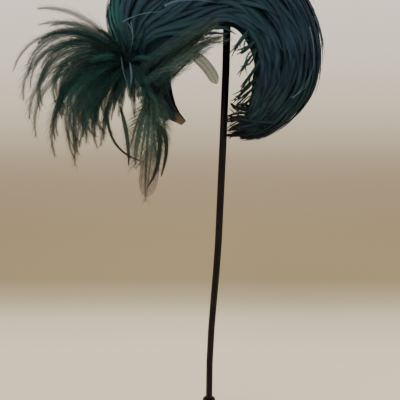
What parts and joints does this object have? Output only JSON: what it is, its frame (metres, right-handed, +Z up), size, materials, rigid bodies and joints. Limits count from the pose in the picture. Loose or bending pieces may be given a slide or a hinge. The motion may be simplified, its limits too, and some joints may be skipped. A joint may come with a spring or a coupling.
{
  "type": "feather hat on a rod stand",
  "caption": "Curved felt half hat covered with swept dark feathers, with a side spray and a hanging tuft, resting on a bent rod stand.",
  "frame": {"origin": "middle of the underside of the stand's foot, on the floor", "axes": "+Z up along the stand, the hat's front faces -Y, the spray leaves it towards -X"},
  "size_m": [0.3041, 0.2056, 0.5839],
  "materials": {
    "felt": "matt felt",
    "crown_feather": "glossy feather",
    "hackle": "soft feather",
    "lacquer": "satin black"
  },
  "bodies": {
    "root": {"felt_foundation": "felt", "crown_feathers": "crown_feather", "side_spray": "hackle", "hanging_tuft": "hackle", "stand_base": "lacquer", "stand_collar": "lacquer", "stand_rod": "lacquer", "stand_knob": "lacquer"}
  },
  "joints": []
}
